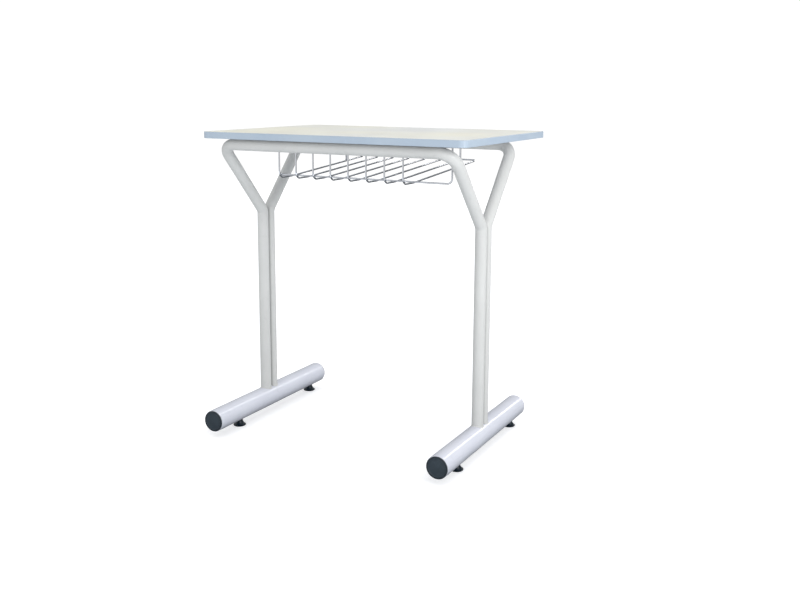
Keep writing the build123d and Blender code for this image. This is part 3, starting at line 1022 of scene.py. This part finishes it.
def lay_floor(stage):
    """Pale floor that fades into the backdrop.

    Two things show only in the light it throws: it is dark to gloss from the
    desk to the far side, and a dark mat under each foot keeps the feet's
    undersides in shade.
    """
    half = stage.floor_size / 2
    mesh = bpy.data.meshes.new("studio_floor")
    mesh.from_pydata([(-half, -half, 0), (half, -half, 0), (half, half, 0), (-half, half, 0)],
                     [], [(0, 1, 2, 3)])
    floor = bpy.data.objects.new("studio_floor", mesh)
    bpy.context.scene.collection.objects.link(floor)
    material, tree, shader, place = start_material("pale_floor", stage.floor[:], 0.7, specular=0.1)
    shader.inputs["Emission Color"].default_value = (1.0, 1.0, 1.0, 1.0)
    shader.inputs["Emission Strength"].default_value = FLOOR_GLOW
    paths = add_node(tree, "ShaderNodeLightPath").outputs
    thrown = (0.97 * stage.bounce, stage.bounce, 1.03 * stage.bounce, 1.0)
    dark = (0.90 * stage.mirror, stage.mirror, 1.10 * stage.mirror, 1.0)
    parts = axes_of(tree, place)
    beyond = spread(tree, parts[1], 0.0, 1.0, *DARK_FLOOR)
    hidden = calculate(tree, "MULTIPLY", paths["Is Glossy Ray"], beyond)
    beside = distance_from(tree, calculate(tree, "ABSOLUTE", parts[0]), LEG_X)
    across = spread(tree, beside, 1.0, 0.0, *MAT_ACROSS)
    lengthwise = spread(tree, calculate(tree, "ABSOLUTE", parts[1]), 1.0, 0.0, *MAT_ALONG)
    mat = calculate(tree, "MULTIPLY", calculate(tree, "MULTIPLY", across, lengthwise), stage.mat)
    covered = calculate(tree, "MAXIMUM", hidden, mat)
    dull = add_node(tree, "ShaderNodeBsdfDiffuse", {"Color": mix_colour(tree, covered, thrown, dark)})
    both = add_node(tree, "ShaderNodeMixShader",
                    {0: paths["Is Camera Ray"], 1: dull.outputs[0], 2: shader.outputs[0]})
    tree.links.new(both.outputs[0], tree.nodes["Material Output"].inputs[0])
    mesh.materials.append(material)


def set_camera(stage):
    """Camera at its place, turned by heading, tilt and roll."""
    camera = bpy.data.cameras.new("desk_camera")
    camera.sensor_width = 36.0
    camera.lens = stage.lens
    camera.shift_y = stage.rise
    camera.clip_start, camera.clip_end = 0.05, 200.0
    viewer = bpy.data.objects.new("desk_camera", camera)
    bpy.context.scene.collection.objects.link(viewer)
    ahead = Vector((-sin(stage.heading) * cos(stage.tilt), cos(stage.heading) * cos(stage.tilt),
                    -sin(stage.tilt)))
    right = Vector((cos(stage.heading), sin(stage.heading), 0.0))
    up = right.cross(ahead)
    rolled_right = cos(stage.roll) * right + sin(stage.roll) * up
    rolled_up = cos(stage.roll) * up - sin(stage.roll) * right
    turn = Matrix((rolled_right, rolled_up, -ahead)).transposed()
    viewer.matrix_world = Matrix.Translation(stage.camera) @ turn.to_4x4()
    bpy.context.scene.camera = viewer


class SCHOOL_DESK_OT_set_stage(bpy.types.Operator):
    """Lay the pale floor, set the soft lights and the camera"""

    bl_idname = "school_desk.set_stage"
    bl_label = "Set Stage"

    def execute(self, context):
        stage = context.scene.school_desk.stage
        lay_floor(stage)
        surround(stage)
        for name, place, target, size, reach, power in LIGHTS:
            soft_light(name, place, target, size, reach, getattr(stage, power))
        set_camera(stage)
        context.scene.view_settings.view_transform = "Standard"
        return {"FINISHED"}


STEPS = (
    SCHOOL_DESK_OT_finish_board,
    SCHOOL_DESK_OT_finish_hoops,
    SCHOOL_DESK_OT_finish_feet,
    SCHOOL_DESK_OT_finish_caps,
    SCHOOL_DESK_OT_finish_glides,
    SCHOOL_DESK_OT_finish_basket,
    SCHOOL_DESK_OT_weld_frame,
    SCHOOL_DESK_OT_weld_basket,
    SCHOOL_DESK_OT_drive_screws,
    SCHOOL_DESK_OT_thread_studs,
    SCHOOL_DESK_OT_set_stage,
)


class SCHOOL_DESK_PT_sidebar(bpy.types.Panel):
    """Sizes, colours and steps of the school desk"""

    bl_idname = "SCHOOL_DESK_PT_sidebar"
    bl_label = "School Desk"
    bl_space_type = "VIEW_3D"
    bl_region_type = "UI"
    bl_category = "School Desk"

    def draw(self, context):
        settings = context.scene.school_desk
        for group in (settings.board, settings.steel, settings.plastic, settings.weld,
                      settings.fastening, settings.stage):
            box = self.layout.box()
            for name in group.__annotations__:
                box.prop(group, name)
        for step in STEPS:
            self.layout.operator(step.bl_idname)


CLASSES = (BoardFinish, SteelFinish, PlasticFinish, WeldSizes, FasteningSizes, StageSettings,
           SchoolDeskSettings, *STEPS, SCHOOL_DESK_PT_sidebar)


def register():
    """Register the classes and hang the settings on the scene."""
    for made in CLASSES:
        bpy.utils.register_class(made)
    bpy.types.Scene.school_desk = bpy.props.PointerProperty(type=SchoolDeskSettings)


def unregister():
    """Take the settings and the classes away again."""
    del bpy.types.Scene.school_desk
    for made in reversed(CLASSES):
        bpy.utils.unregister_class(made)


def main():
    """Register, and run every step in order."""
    register()
    for step in STEPS:
        group, _, action = step.bl_idname.partition(".")
        getattr(getattr(bpy.ops, group), action)()


if __name__ == "__main__":
    main()
